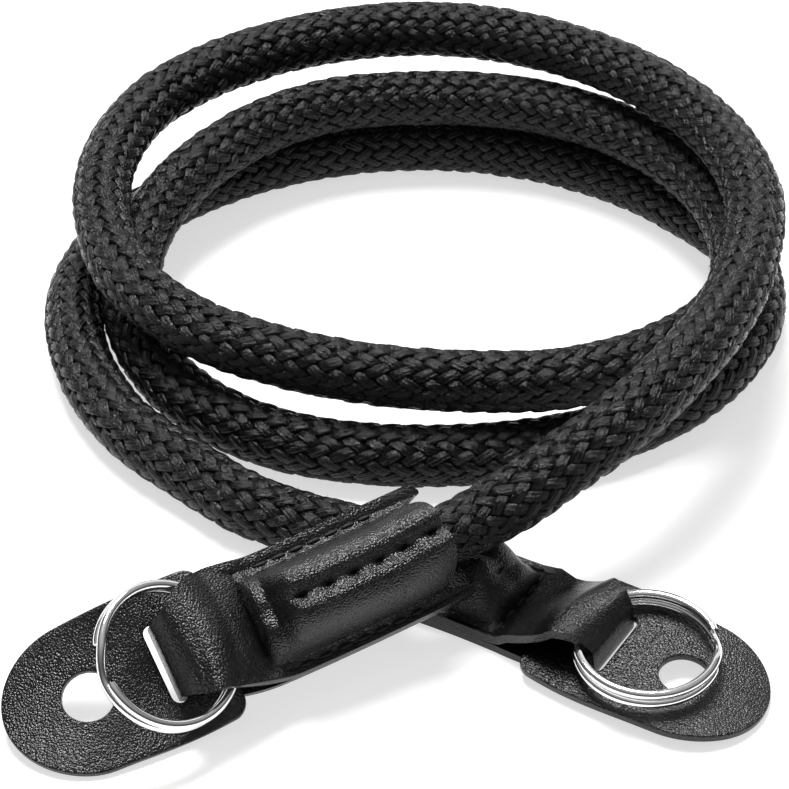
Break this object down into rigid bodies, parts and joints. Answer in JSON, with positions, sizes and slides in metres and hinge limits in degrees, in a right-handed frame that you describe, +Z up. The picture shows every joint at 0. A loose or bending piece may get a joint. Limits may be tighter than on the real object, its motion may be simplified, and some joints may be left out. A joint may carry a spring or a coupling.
{
  "type": "coiled rope camera strap",
  "caption": "Black braided rope camera strap lying coiled, with leather ends, leather guard plates and steel split rings.",
  "frame": {"origin": "centre of the box round the two leather ends, their guards and rings, at the surface the strap lies on", "axes": "+Z up, +X along the longest extent of the leather ends and rings, from the left end to the right end, +Y from the leather ends towards the coil"},
  "size_m": [0.126, 0.1745, 0.0306],
  "materials": {
    "black_braid": "satin braid of flat synthetic filament bundles",
    "black_leather": "grained, half gloss",
    "chrome": "polished plated steel wire"
  },
  "bodies": {
    "root": {"braided_rope": "black_braid", "leather_tab_a": "black_leather", "leather_tab_b": "black_leather", "camera_guard_a": "black_leather", "camera_guard_b": "black_leather", "split_ring_a": "chrome", "split_ring_b": "chrome"}
  },
  "joints": []
}
